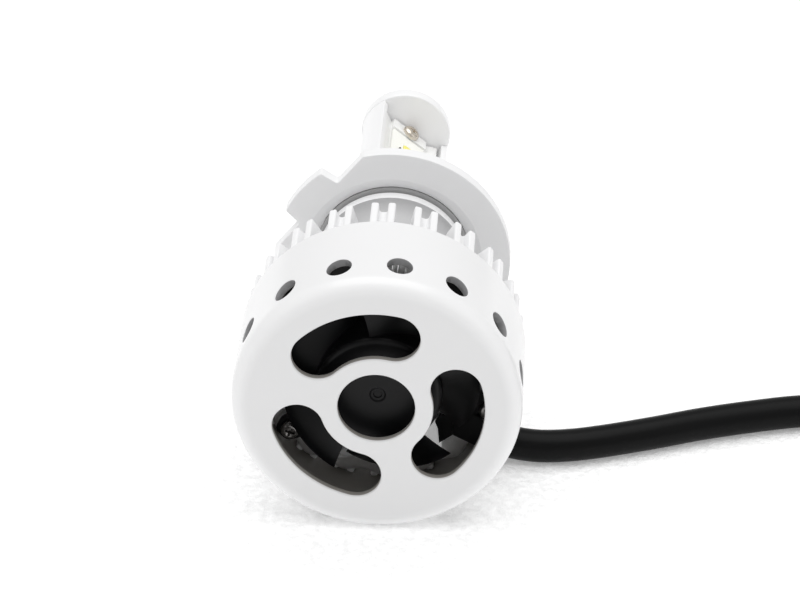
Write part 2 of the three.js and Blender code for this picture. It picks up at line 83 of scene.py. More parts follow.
def on_lamp(p):
    """As on_bulb, but turned so that the collar's tab points along -x."""
    c, s = math.cos(KEY_TURN), math.sin(KEY_TURN)
    return on_bulb((p[0] * c + p[2] * s, p[1], -p[0] * s + p[2] * c))


# ---------------------------------------------------------------- camera
def add_camera():
    """The camera of the photograph's view, from behind the bulb and a little above it."""
    data = bpy.data.cameras.new("camera")
    data.lens = 171
    data.sensor_width = 36
    data.clip_start = 0.02
    camera = bpy.data.objects.new("camera", data)
    bpy.context.scene.collection.objects.link(camera)
    right = Vector((0.9986, 0.0521, 0)).normalized()
    forward = Vector((-0.0448, 0.8578, -0.5119)).normalized()
    up = right.cross(forward)
    right = forward.cross(up)
    rows = Matrix((right, up, -forward)).transposed().to_4x4()
    rows.translation = (0.0261, -0.478, 0.2983)
    camera.matrix_world = rows
    bpy.context.scene.camera = camera


add_camera()


# ---------------------------------------------------------------- materials
MICRON = 0.000001


def set_inputs(node, values):
    for key, value in values.items():
        node.inputs[key].default_value = value


def add_node(tree, kind, values=None, **settings):
    """A shader node: first its settings, then the constants on its sockets."""
    made = tree.nodes.new("ShaderNode" + kind)
    for key, value in settings.items():
        setattr(made, key, value)
    set_inputs(made, values or {})
    return made


def new_material(name):
    mat = bpy.data.materials.new(name)
    mat.use_nodes = True
    return mat, mat.node_tree, mat.node_tree.nodes["Principled BSDF"]


def material(
    name, color, roughness, metallic=0.0, coat=0.0, spec=0.5, tint=0.03, patch=60, grain=(1800, 10), cells=None,
):
    """A surface with patchy colour and gloss, and a fine grain in its bump.

    grain and cells hold a texture scale and a height in microns. cells adds small pits.
    """
    mat, tree, shader = new_material(name)
    link = tree.links.new
    set_inputs(shader, {
        "Metallic": metallic, "Coat Weight": coat, "Coat Roughness": 0.12, "Specular IOR Level": spec,
    })
    place = add_node(tree, "TexCoord")
    blotch = add_node(tree, "TexNoise", {"Scale": patch, "Detail": 5})
    link(place.outputs["Object"], blotch.inputs["Vector"])
    darker = (*[c * (1 - tint) for c in color], 1)
    lighter = (*[min(1, c * (1 + tint)) for c in color], 1)
    mix = add_node(tree, "Mix", {"A": darker, "B": lighter}, data_type="RGBA")
    link(blotch.outputs["Fac"], mix.inputs["Factor"])
    link(mix.outputs["Result"], shader.inputs["Base Color"])
    rough_spread = 0.06
    spread = add_node(tree, "MapRange", {
        "From Min": 0.3, "From Max": 0.7,
        "To Min": max(0.02, roughness - rough_spread), "To Max": roughness + rough_spread,
    })
    link(blotch.outputs["Fac"], spread.inputs["Value"])
    link(spread.outputs["Result"], shader.inputs["Roughness"])
    fine = add_node(tree, "TexNoise", {"Scale": grain[0], "Detail": 3})
    link(place.outputs["Object"], fine.inputs["Vector"])
    bump = add_node(tree, "Bump", {"Strength": 1.0, "Distance": grain[1] * MICRON})
    link(fine.outputs["Fac"], bump.inputs["Height"])
    if cells:
        pits = add_node(tree, "TexVoronoi", {"Scale": cells[0]})
        link(place.outputs["Object"], pits.inputs["Vector"])
        second = add_node(tree, "Bump", {"Strength": 1.0, "Distance": cells[1] * MICRON})
        link(pits.outputs["Distance"], second.inputs["Height"])
        link(bump.outputs["Normal"], second.inputs["Normal"])
        bump = second
    link(bump.outputs["Normal"], shader.inputs["Normal"])
    return mat


def metal(name, color, roughness, tint=0.05):
    return material(name, color, roughness, metallic=1.0, tint=tint, grain=(2500, 5))


WHITE_PAINT = material("white paint", (0.865, 0.865, 0.869), 0.34, coat=0.3, tint=0.012, grain=(1400, 6))
FIN_WHITE = material("white fin", (0.9, 0.9, 0.905), 0.4, tint=0.02, grain=(2200, 12), cells=(1500, 8))
# Painted shade: a dark grey on the walls of the vents' bores, so that the vents read dark.
VENT_BORE_SHADE = material("vent bore shade", (0.34, 0.34, 0.345), 0.5, tint=0.04)
# Dark brownish grey: bare cut edges on the slot walls, and painted shade over the whole inside of the cup.
BARE_EDGE_AND_CUP_SHADE = material("bare edge and cup shade", (0.3, 0.285, 0.265), 0.45, tint=0.06)
# Lit and shaded copies of one white: the neck's is darkened as painted shade, and the lip's is lightened into a bright
# arc as a painted highlight.
NECK_WHITE_SHADED = material("white neck, shaded", (0.56, 0.56, 0.565), 0.42, tint=0.02, grain=(2200, 12))
LIP_WHITE_LIT = material("white lip, lit", (0.98, 0.98, 0.985), 0.36, tint=0.01, grain=(2200, 6))
COLLAR_GREY = material("collar grey", (0.89, 0.89, 0.895), 0.4, tint=0.015, grain=(2600, 4))
TIP_GREY = material("tip grey", (0.92, 0.92, 0.925), 0.3, tint=0.012, grain=(2600, 3))
CAST_METAL = material("cast metal", (0.75, 0.75, 0.75), 0.42, 0.85, tint=0.08, grain=(1800, 30), cells=(1200, 30))
BLADE_METAL = material("blade metal", (0.93, 0.93, 0.92), 0.34, 0.1, tint=0.02, grain=(2500, 4))
STEEL = metal("steel", (0.62, 0.60, 0.57), 0.22)
DARK_STEEL = metal("dark steel", (0.3, 0.29, 0.28), 0.3, 0.08)
WARM_STEEL = metal("warm steel", (0.66, 0.60, 0.52), 0.26)
BRASS = metal("brass", (0.78, 0.62, 0.34), 0.24)
COPPER = material("copper wire", (0.62, 0.28, 0.14), 0.35, 0.9, tint=0.1, grain=(2800, 30))
MAGNET = material("magnet", (0.05, 0.05, 0.055), 0.6, 0.3, tint=0.1, grain=(2200, 20))
BLACK_PLASTIC = material("black plastic", (0.003, 0.003, 0.0035), 0.36, spec=0.2, tint=0.1, grain=(2600, 8))
BLACK_SOFT = material(
    "black plastic, grained", (0.006, 0.006, 0.0065), 0.5, spec=0.25, tint=0.1, grain=(2200, 20), cells=(1800, 10),
)
BLACK_RUBBER = material("black rubber", (0.010, 0.010, 0.011), 0.36, tint=0.15, grain=(1500, 10))
CABLE_JACKET = material(
    "cable jacket", (0.002, 0.0021, 0.0022), 0.32, spec=0.12, tint=0.15, patch=25, grain=(1100, 20),
)
# Painted shade: a mid grey for the seal ring, standing for the shadowed gap between the collar's bore and the lip.
SEAL_GAP_SHADE = material("seal gap shade", (0.4, 0.4, 0.4), 0.5, tint=0.06, grain=(1500, 10))
RED_JACKET = material("red jacket", (0.45, 0.02, 0.015), 0.4, tint=0.06, grain=(1500, 10))
DRIVER_METAL = material("driver metal", (0.03, 0.032, 0.036), 0.38, 0.6, tint=0.08, grain=(2400, 12))
BOARD_WHITE = material("board white", (0.98, 0.98, 0.93), 0.45, tint=0.01, grain=(2200, 4))
BOARD_GREEN = material("board green", (0.02, 0.11, 0.05), 0.35, tint=0.12, grain=(1800, 8))
PHOSPHOR = material("phosphor", (0.95, 0.88, 0.22), 0.45, tint=0.05, grain=(2600, 10))
WRAP = material("sleeve wrap", (0.02, 0.03, 0.06), 0.25, tint=0.08, grain=(1200, 10))
# Painted light: a lit copy of the metal, with a weak glow.
SUNLIT_METAL = material("sunlit metal", (0.95, 0.95, 0.95), 0.4, tint=0.05, grain=(1800, 30))
set_inputs(SUNLIT_METAL.node_tree.nodes["Principled BSDF"], {
    "Emission Color": (1, 1, 1, 1), "Emission Strength": 0.29,
})


def shade_near_axis(mat, inner, outer, factor):
    """Painted shade: scales the colour by a factor inside one radius from the bulb's axis, and fades it out to another.
    """
    tree = mat.node_tree
    link = tree.links.new
    color = tree.nodes["Principled BSDF"].inputs["Base Color"]
    painted = color.links[0].from_socket
    place = add_node(tree, "TexCoord")
    away = add_node(tree, "VectorMath", {1: (1, 0, 1), 2: (0, 0, -AXIS_HEIGHT)}, operation="MULTIPLY_ADD")
    link(place.outputs["Object"], away.inputs[0])
    radius = add_node(tree, "VectorMath", operation="LENGTH")
    link(away.outputs["Vector"], radius.inputs[0])
    fade = add_node(tree, "MapRange", {
        "From Min": inner * MM, "From Max": outer * MM, "To Min": factor, "To Max": 1,
    }, interpolation_type="SMOOTHSTEP")
    link(radius.outputs["Value"], fade.inputs["Value"])
    scaled = add_node(tree, "VectorMath", operation="SCALE")
    link(painted, scaled.inputs[0])
    link(fade.outputs["Result"], scaled.inputs["Scale"])
    link(scaled.outputs["Vector"], color)


# Painted shade: the white paint is darkened over the cover's flat rear face, towards the axis, so that the rounded rim
# round it reads brighter.
shade_near_axis(WHITE_PAINT, 17.4, 19.3, 0.88)


def floor_material():
    """White paper with fine fibres in its tone and in its bump."""
    mat, tree, shader = new_material("paper")
    link = tree.links.new
    set_inputs(shader, {
        "Roughness": 0.9, "Specular IOR Level": 0.15, "Emission Color": (1, 1, 1, 1), "Emission Strength": 0.22,
    })
    place = add_node(tree, "TexCoord")
    fibre = add_node(tree, "TexNoise", {"Scale": 900, "Detail": 5})
    link(place.outputs["Object"], fibre.inputs["Vector"])
    tone = add_node(tree, "Mix", {"A": (0.84, 0.84, 0.84, 1), "B": (1.0, 1.0, 1.0, 1)}, data_type="RGBA")
    spread = add_node(tree, "MapRange", {"From Min": 0.36, "From Max": 0.64})
    link(fibre.outputs["Fac"], spread.inputs["Value"])
    link(spread.outputs["Result"], tone.inputs["Factor"])
    link(tone.outputs["Result"], shader.inputs["Base Color"])
    below = None
    for scale, depth in ((420, 0.0004), (1100, 0.0003)):
        noise = add_node(tree, "TexNoise", {"Scale": scale, "Detail": 4})
        link(place.outputs["Object"], noise.inputs["Vector"])
        bump = add_node(tree, "Bump", {"Distance": depth})
        link(noise.outputs["Fac"], bump.inputs["Height"])
        if below:
            link(below.outputs["Normal"], bump.inputs["Normal"])
        below = bump
    link(below.outputs["Normal"], shader.inputs["Normal"])
    return mat


# ---------------------------------------------------------------- shape helpers
def polar(radius, degrees):
    a = math.radians(degrees)
    return radius * math.cos(a), radius * math.sin(a)


def arc(cx, cy, radius, start, end, steps):
    points = (polar(radius, start + (end - start) * i / steps) for i in range(steps + 1))
    return [(cx + x, cy + y) for x, y in points]


def circle(radius, count=96, cx=0.0, cy=0.0, start=0.0):
    return arc(cx, cy, radius, start, start + 360, count)[:-1]


def turned(out, aside, degrees):
    """A point at a distance out from the axis and a distance aside, turned about the axis."""
    c, s = polar(1, degrees)
    return out * c - aside * s, out * s + aside * c


def rounded(points, closed=True, steps=4):
    """Rounds the corners of (a, b, radius) points with arcs."""
    out = []
    count = len(points)
    for i, (a, b, radius) in enumerate(points):
        if radius <= 0 or (not closed and i in (0, count - 1)):
            out.append((a, b))
            continue
        c = Vector((a, b))
        before = Vector(points[i - 1][:2]) - c
        after = Vector(points[(i + 1) % count][:2]) - c
        u, v = before.normalized(), after.normalized()
        half = u.angle(v) / 2
        if half > math.radians(89.5) or half < 0.01:
            out.append((a, b))
            continue
        reach = min(radius / math.tan(half), 0.48 * before.length, 0.48 * after.length)
        size = reach * math.tan(half)
        centre = c + (u + v).normalized() * (size / math.sin(half))
        p, q = c + u * reach - centre, c + v * reach - centre
        turn = p.angle_signed(q)
        start = math.atan2(p.y, p.x)
        for k in range(steps + 1):
            t = start - turn * k / steps
            out.append((centre.x + size * math.cos(t), centre.y + size * math.sin(t)))
    return out


def area(outline):
    return 0.5 * sum(a[0] * b[1] - b[0] * a[1] for a, b in zip(outline, outline[1:] + outline[:1]))


def inset(outline, depth):
    """Moves a closed outline inwards, or outwards when depth is negative."""
    sign = 1 if area(outline) > 0 else -1
    out = []
    for i, p in enumerate(outline):
        c = Vector(p)
        e1 = (c - Vector(outline[i - 1])).normalized()
        e2 = (Vector(outline[(i + 1) % len(outline)]) - c).normalized()
        n1, n2 = Vector((-e1.y, e1.x)), Vector((-e2.y, e2.x))
        scale = depth * sign / max(0.35, 1 + n1.dot(n2))
        out.append(tuple(c + (n1 + n2) * scale))
    return out


class Shape:
    """Vertices in millimetres and faces, collected piece by piece."""

    def __init__(self):
        self.verts = []
        self.faces = []

    def ring(self, points):
        first = len(self.verts)
        self.verts += [tuple(p) for p in points]
        return list(range(first, len(self.verts)))

    def strip(self, a, b):
        for i in range(len(a)):
            j = (i + 1) % len(a)
            self.faces.append((a[i], a[j], b[j], b[i]))

    def skin(self, loops):
        """Joins closed loops of points with bands of faces."""
        rings = [self.ring(p) for p in loops]
        for a, b in zip(rings, rings[1:]):
            self.strip(a, b)
        return rings

    def fill(self, loops):
        """Closes flat loops, the first one outside and the others holes."""
        flat = [i for loop in loops for i in loop]
        for tri in tessellate_polygon([[Vector(self.verts[i]) for i in loop] for loop in loops]):
            self.faces.append(tuple(flat[k] for k in tri))

    def add(self, other, move=None):
        first = len(self.verts)
        self.verts += [tuple(move @ Vector(v)) if move else v for v in other.verts]
        self.faces += [tuple(first + i for i in f) for f in other.faces]
        return self


def lathe(profile, count=120):
    """Turns (radius, y) points about the Y axis. A profile that keeps off the axis is closed into a ring."""
    shape = Shape()
    rings = shape.skin([[(x, y, z) for x, z in circle(max(r, 1e-5), count)] for r, y in profile])
    if profile[0][0] > 1e-4 and profile[-1][0] > 1e-4:
        shape.strip(rings[-1], rings[0])
    return shape


def walls(outline, low, high, bevel, steps=3, hole=False):
    """Loops of a wall from y = low to high, with rounded edges."""
    sign = -1 if hole else 1
    loops = []
    for k in range(steps + 1):
        t = math.pi / 2 * k / steps
        loops.append((low + bevel * (1 - math.cos(t)), inset(outline, sign * bevel * (1 - math.sin(t)))))
    for k in range(steps + 1):
        t = math.pi / 2 * (1 - k / steps)
        loops.append((high - bevel * (1 - math.cos(t)), inset(outline, sign * bevel * (1 - math.sin(t)))))
    return loops


def slab(outer, holes=()):
    """A plate from wall loops [(y, outline)], with holes given the same way."""
    shape = Shape()
    ends = []
    for loops in (outer, *holes):
        rings = shape.skin([[(x, y, z) for x, z in outline] for y, outline in loops])
        ends.append((rings[0], rings[-1]))
    shape.fill([e[0] for e in ends])
    shape.fill([e[1] for e in ends])
    return shape


def prism(outline, low, high, bevel=0.1, steps=2, holes=()):
    return slab(walls(outline, low, high, bevel, steps), [walls(h, low, high, bevel, steps, True) for h in holes])


def rectangle(half_x, half_z, radius, cx=0.0, cz=0.0, steps=4):
    corners = [(half_x, half_z), (-half_x, half_z), (-half_x, -half_z), (half_x, -half_z)]
    return [(cx + a, cz + b) for a, b in rounded([(x, z, radius) for x, z in corners], True, steps)]


def turn_x(degrees):
    return Matrix.Rotation(math.radians(degrees), 4, "X")


def turn_y(degrees):
    return Matrix.Rotation(math.radians(degrees), 4, "Y")


def move(x, y, z):
    return Matrix.Translation((x, y, z))


def catmull_rom(points, steps):
    """A centripetal curve through the points, evenly spaced."""
    pts = [Vector(p) for p in points]
    pts = [2 * pts[0] - pts[1], *pts, 2 * pts[-1] - pts[-2]]
    fine = []
    for p0, p1, p2, p3 in zip(pts, pts[1:], pts[2:], pts[3:]):
        t1 = (p1 - p0).length ** 0.5
        t2 = t1 + (p2 - p1).length ** 0.5
        t3 = t2 + (p3 - p2).length ** 0.5
        for k in range(24):
            t = t1 + (t2 - t1) * k / 24
            a1 = p0.lerp(p1, t / t1)
            a2 = p1.lerp(p2, (t - t1) / (t2 - t1))
            a3 = p2.lerp(p3, (t - t2) / (t3 - t2))
            b1 = a1.lerp(a2, t / t2)
            b2 = a2.lerp(a3, (t - t1) / (t3 - t1))
            fine.append(b1.lerp(b2, (t - t1) / (t2 - t1)))
    fine.append(pts[-2])
    ends = [0.0]
    for a, b in zip(fine, fine[1:]):
        ends.append(ends[-1] + (b - a).length)
    out = []
    k = 0
    for i in range(steps + 1):
        want = ends[-1] * i / steps
        while k < len(fine) - 2 and ends[k + 1] < want:
            k += 1
        span = ends[k + 1] - ends[k]
        out.append(fine[k].lerp(fine[k + 1], min(1, (want - ends[k]) / span)))
    return out


def tube(path, radius, sides):
    """A round bar along the path, with small rounded ends."""
    ends = 0.25
    shape = Shape()
    tangents = [(path[min(i + 1, len(path) - 1)] - path[max(i - 1, 0)]).normalized() for i in range(len(path))]
    side = tangents[0].cross(Vector((0.21, 0.13, 1))).normalized()
    loops = []
    for i, (p, t) in enumerate(zip(path, tangents)):
        side = (side - t * side.dot(t)).normalized()
        other = t.cross(side)
        angles = (2 * math.pi * k / sides for k in range(sides))
        ring = [p + side * (radius * math.cos(a)) + other * (radius * math.sin(a)) for a in angles]
        if i == 0:
            loops.append([p + (q - p) * (1 - ends) for q in ring])
            ring = [q + t * radius * ends * 0.6 for q in ring]
        elif i == len(path) - 1:
            loops.append([q - t * radius * ends * 0.6 for q in ring])
            ring = [p + (q - p) * (1 - ends) for q in ring]
        loops.append(ring)
    rings = shape.skin(loops)
    shape.fill([rings[0]])
    shape.fill([rings[-1]])
    return shape


def make(name, shape, place, mat, sharp=38):
    """The mesh object of a shape."""
    mesh = bpy.data.meshes.new(name)
    mesh.from_pydata([place(v) for v in shape.verts], [], shape.faces)
    work = bmesh.new()
    work.from_mesh(mesh)
    bmesh.ops.remove_doubles(work, verts=work.verts, dist=2e-6)
    bmesh.ops.dissolve_degenerate(work, edges=work.edges, dist=1e-7)
    bmesh.ops.recalc_face_normals(work, faces=work.faces)
    for face in work.faces:
        face.smooth = True
    work.to_mesh(mesh)
    work.free()
    mesh.set_sharp_from_angle(angle=math.radians(sharp))
    mesh.materials.append(mat)
    made = bpy.data.objects.new(name, mesh)
    bpy.context.scene.collection.objects.link(made)
    flat = made.modifiers.new("normals", "WEIGHTED_NORMAL")
    flat.keep_sharp = True
    flat.weight = 80
    return made


def piece(name, shape, mat, body="bulb", place=on_bulb, replaces=(), sharp=38):
    """A shape as a mesh that rides on a body and stands for the CAD solids it replaces."""
    made = make(name, shape, place, mat, sharp)
    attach(made, body)
    if replaces:
        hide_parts(*replaces)
    return made


# ---------------------------------------------------------------- cords
DRIVER_X, PLUG_X = 126.0, 85.0
LEAD_HEIGHT, PLUG_LEAD_HEIGHT = 4.8, 4.5
LEAD_RADIUS = 2.35
LYING = LEAD_RADIUS + 0.03
EXIT_BEND = 18.8


def rising(height, share):
    """Height of a lead's middle at a share of its smooth climb from the surface."""
    return LYING + (height - LYING) * (1 - math.cos(math.pi * min(1, max(0, share)))) / 2


LAMP_CABLE_ROUTE = [
    *[(x, -21.4 - 0.06 * i, z) for i, (x, z) in enumerate(arc(22.5, LYING + EXIT_BEND, EXIT_BEND, -143.5, -90, 6))],
    *[(x, y, LYING) for x, y in ((26.4, -21.35), (30.6, -20.25), (38.4, -17.5), (45.2, -14.8), (52.3, -12.5))],
    (59.7, -10.6, LYING),
    *[(x, y, LYING) for x, y in arc(67.3, -31.9, 22, 90, 38, 5)],
    *[(x, y, rising(LEAD_HEIGHT, (i - 3) / 10)) for i, (x, y) in enumerate(arc(DRIVER_X - 22, -7.7, 22, -142, 0, 12))],
    (DRIVER_X, -6, LEAD_HEIGHT),
    (DRIVER_X, -4.45, LEAD_HEIGHT),
]
PLUG_CABLE_ROUTE = [
    (DRIVER_X, 59.4, LEAD_HEIGHT),
    *[
        (x, y, rising(LEAD_HEIGHT, 1 - (i + 0.3) / 8))
        for i, (x, y) in enumerate(arc(PLUG_X + 20.5, 62, 20.5, 0, 180, 14))
    ],
    *[(PLUG_X, y, rising(PLUG_LEAD_HEIGHT, (62 - y) / 19)) for y in (57.5, 53, 48.5, 44)],
    (PLUG_X, 40.35, PLUG_LEAD_HEIGHT),
]


def add_cord(name, route, replaced):
    path = catmull_rom(route, 150)
    shape = tube(path, LEAD_RADIUS, 32)
    made = piece(name, shape, CABLE_JACKET, place=on_table, replaces=(replaced,))
    return made, [tuple(p * MM) for p in path]


lamp_cable, lamp_path = add_cord("lamp_lead", LAMP_CABLE_ROUTE, "lamp_cable")
plug_cable, plug_path = add_cord("plug_lead", PLUG_CABLE_ROUTE, "plug_cable")


# ---------------------------------------------------------------- rear cover
COVER_RADIUS, COVER_LENGTH, COVER_WALL, COVER_EDGE = 20.0, 16.8, 1.2, 2.1
KIDNEY_RADIUS, KIDNEY_HALF, KIDNEY_SPAN = 11.33, 3.52, 29.05
KIDNEY_ANGLES = (106.2, -13.8, -133.8)
CENTRE_HOLE, MOUTH_EDGE = 5.32, 0.3
SECTORS, PER_SIDE = 15, 12
FIRST_VENT = 105.3
VENT_LOW, VENT_HIGH = 2.4, 7.6


def kidney(offset, centre):
    mid, half, span = KIDNEY_RADIUS, KIDNEY_HALF + offset, KIDNEY_SPAN
    ex, ez = polar(mid, centre + span)
    sx, sz = polar(mid, centre - span)
    return [
        *arc(0, 0, mid + half, centre - span, centre + span, 40),
        *arc(ex, ez, half, centre + span, centre + span + 180, 24)[1:-1],
        *arc(0, 0, mid - half, centre + span, centre - span, 24),
        *arc(sx, sz, half, centre - span + 180, centre - span + 360, 24)[1:-1],
    ]


def vent_rings(centre):
    """Loops of one sector of the side wall: from the outside wall, through the vent, to the inside wall."""
    low, high = VENT_LOW, VENT_HIGH
    hole_y, hole, stretch = 5.05, 1.78, 1.16
    half = 180 / SECTORS
    edge = []
    for k in range(PER_SIDE):
        edge.append((-half + 2 * half * k / PER_SIDE, low))
    for k in range(PER_SIDE):
        edge.append((half, low + (high - low) * k / PER_SIDE))
    for k in range(PER_SIDE):
        edge.append((half - 2 * half * k / PER_SIDE, high))
    for k in range(PER_SIDE):
        edge.append((-half, high - (high - low) * k / PER_SIDE))

    def spot(radius, degrees, y):
        x, z = polar(radius, centre + degrees)
        return (x, y, z)

    def flat(radius, share, size):
        loop = []
        for degrees, y in edge:
            across = math.radians(degrees) * COVER_RADIUS
            a = math.atan2(y - hole_y, across)
            turn, along = math.degrees(math.asin(size * math.cos(a) / radius)), hole_y + size * stretch * math.sin(a)
            loop.append(spot(radius, turn + (degrees - turn) * share, along + (y - along) * share))
        return loop

    bevel = 0.08
    outside, inside = COVER_RADIUS, COVER_RADIUS - COVER_WALL
    loops = [flat(outside, s, hole + bevel) for s in (1, 0.75, 0.5, 0.3, 0.12, 0)]
    for t in (0.5, 1.0, 1.5707):
        loops.append(flat(outside - bevel * (1 - math.cos(t)), 0, hole + bevel * (1 - math.sin(t))))
    loops += [flat(inside + 0.1, 0, hole), flat(inside, 0, hole + 0.1)]
    loops += [flat(inside, s, hole + 0.1) for s in (0.3, 0.6, 1)]
    return loops


def cover_shape():
    """The cup: a wall with a ring of vents, and a flat rear face with three kidney slots and a centre hole."""
    shape = Shape()
    count = SECTORS * PER_SIDE
    start = FIRST_VENT + 180 / SECTORS

    def hoop(radius, y):
        return [(x, y, z) for x, z in circle(radius, count, start=start)]

    inner = COVER_RADIUS - COVER_WALL
    rear = [hoop(COVER_RADIUS - COVER_EDGE + r, COVER_EDGE + y) for r, y in arc(0, 0, COVER_EDGE, -90, 0, 9)]
    first = shape.skin([*rear, hoop(COVER_RADIUS, VENT_LOW)])
    lip = 0.28
    front = [hoop(COVER_RADIUS, y) for y in (VENT_HIGH, 10, 13, COVER_LENGTH - lip)]
    front += [hoop(COVER_RADIUS - lip + r, COVER_LENGTH - lip + y) for r, y in arc(0, 0, lip, 0, 90, 4)[1:]]
    front += [hoop(inner + lip - r, COVER_LENGTH - lip + y) for r, y in arc(0, 0, lip, 90, 0, 4)]
    front += [hoop(inner, y) for y in (13, 10, VENT_HIGH)]
    shape.skin(front)
    back = [hoop(inner, VENT_LOW), *[hoop(inner - 1 + r, COVER_WALL + 1 + y) for r, y in arc(0, 0, 1, 0, -90, 4)]]
    last = shape.skin(back)
    for i in range(SECTORS):
        shape.skin(vent_rings(FIRST_VENT + i * 360 / SECTORS))
    edge, small = MOUTH_EDGE, 0.12
    levels = [(edge * (1 - math.sin(t)), edge * (1 - math.cos(t))) for t in (0, 0.4, 0.8, 1.2, 1.5707)]
    levels += [(0, COVER_WALL - small), (small * 0.3, COVER_WALL - small * 0.3), (small, COVER_WALL)]
    outlines = [lambda offset: circle(CENTRE_HOLE + offset, 72)]
    outlines += [lambda offset, a=a: kidney(offset, a) for a in KIDNEY_ANGLES]
    mouths, backs = [first[0]], [last[-1]]
    for outline in outlines:
        rings = shape.skin([[(x, y, z) for x, z in outline(offset)] for offset, y in levels])
        mouths.append(rings[0])
        backs.append(rings[-1])
    shape.fill(mouths)
    shape.fill(backs)
    return shape


cover = piece("rear_cover", cover_shape(), WHITE_PAINT, replaces=("fan_cover",), sharp=50)
cover.data.materials.append(BARE_EDGE_AND_CUP_SHADE)
# The vent bores take a dark grey as painted shade.
cover.data.materials.append(VENT_BORE_SHADE)
# Faces inside the cup and on the slot walls take the dark brownish grey: bare cut edges on the slot walls, painted
# shade over the cup's inside.
for face in cover.data.polygons:
    across = math.hypot(face.center.x, face.center.z - AXIS_HEIGHT) / MM
    along = (face.center.y - REAR) / MM
    if across < COVER_RADIUS - COVER_WALL + 0.1 and along > MOUTH_EDGE - 0.01:
        face.material_index = 1
    elif across < COVER_RADIUS - 0.1 and VENT_LOW + 0.01 < along < VENT_HIGH - 0.01:
        face.material_index = 2


# ---------------------------------------------------------------- heat sink
FORK_COUNT, FORK_FIRST = 20, 90.5
CABLE_ANGLE = FORK_FIRST - 8 * 360 / FORK_COUNT
CORE_RADIUS = 10.2
PLATE_REAR, PLATE_FRONT, PLATE_MARGIN = 11.25, 13.2, 14.6
POST_REAR, POST_FRONT = 11.05, 12.6
SCREW_ANGLES, SCREW_CIRCLE = (-141.5, -21.5, 98.5), 16.2
SPARE_TURN, SPARE_CIRCLE = 31.5, 15.2


def fork_outline(tip_radius):
    """Outline of the core and all its forked fins, with the same number of points for every tip radius."""
    points = []
    half = [
        (CORE_RADIUS + 0.02, 0.6, 0.7), (14.2, 0.6, 2.0), (16.6, 1.6, 1.6),
        (tip_radius, 1.72, 0.28), (tip_radius, 0.67, 0.28), (18, 0.6, 0.42),
    ]
    for i in range(FORK_COUNT):
        angle = FORK_FIRST - (FORK_COUNT - 1 - i) * 360 / FORK_COUNT
        if abs((angle - CABLE_ANGLE + 180) % 360 - 180) > 1:
            local = [(r, -t, f) for r, t, f in half] + [(r, t, f) for r, t, f in reversed(half)]
            points += [(*turned(r, t, angle), f) for r, t, f in local]
        for k in (1, 2, 3):
            x, z = polar(CORE_RADIUS, angle + (4 + 10 * k / 4))
            points.append((x, z, 0))
    return rounded(points, True, 4)


def sink_shape():
    """The core with its fins, which step outwards where they leave the cover."""
    rear, step, front, bevel, edge = 11.4, 17.15, 22.9, 0.22, 0.12
    low, high = fork_outline(18.5), fork_outline(19.5)
    loops = walls(low, rear, step, bevel, 2)[:3]
    loops += [(step, low), (step, inset(high, edge)), (step + edge, high)]
    loops += walls(high, rear, front, bevel, 3)[4:]
    return slab(loops)


piece("fins", sink_shape(), FIN_WHITE, replaces=("heat_sink",), sharp=45)


def rear_plate():
    """The cast rear face of the heat sink: a lobed disc with screw posts, empty holes and three ribs on top."""
    lobes = []
    for i in range(240):
        angle = i * 1.5
        wave = math.cos(math.radians((angle - FORK_FIRST) * FORK_COUNT))
        lobes.append(polar(PLATE_MARGIN if 68 < angle < 96 else 17.9 + 0.4 * wave, angle))
    holes = []
    for angle in SCREW_ANGLES:
        x, z = polar(SPARE_CIRCLE, angle + SPARE_TURN)
        holes.append(circle(0.95, 24, x, z))
    x, z = polar(4.4, CABLE_ANGLE)
    holes.append(circle(0.9, 20, x, z))
    plate_holes = [walls(h, PLATE_REAR, PLATE_FRONT, 0.12, 2, True) for h in holes]
    shape = slab(walls(lobes, PLATE_REAR, PLATE_FRONT, 0.3, 3), plate_holes)
    for angle in SCREW_ANGLES:
        for circle_radius, turn, size in ((SPARE_CIRCLE, SPARE_TURN, 1.75), (SCREW_CIRCLE, 0, 2.0)):
            x, z = polar(circle_radius, angle + turn)
            hole = walls(circle(0.85, 24, x, z), POST_REAR, POST_FRONT, 0.1, 2, True)
            shape.add(slab(walls(circle(size, 32, x, z), POST_REAR, POST_FRONT, 0.12, 2), [hole]))
    for angle, half in ((79.2, 0.42), (82.6, 0.28), (85.4, 0.28)):
        corners = [(14.4, -half), (17.9, -half), (17.9, half), (14.4, half)]
        shape.add(prism([turned(r, t, angle) for r, t in corners], 11.3, 13.1, 0.08, 2))
    return shape


piece("sink_rear_plate", rear_plate(), CAST_METAL)
# Painted light: a thin bright patch on the rear plate, where light reaches from outside. Its weak glow stands for that
# light.
bright_spot = [(7.6, -8.6), (8.4, -9.9), (8.5, -12.3), (8.5, -13.8), (5.6, -11.2), (6.7, -10.0)]
piece("sink_bright_spot", prism(bright_spot, 10.96, 11.2, 0.05), SUNLIT_METAL)


# ---------------------------------------------------------------- screws
def cross_outline(reach, half):
    quarter = [(reach, -half, half * 0.6), (reach, half, half * 0.6), (half, half, half * 0.4)]
    points = []
    for k in range(4):
        points += [(*turned(x, z, 90 * k), f) for x, z, f in quarter]
    return rounded(points, True, 2)


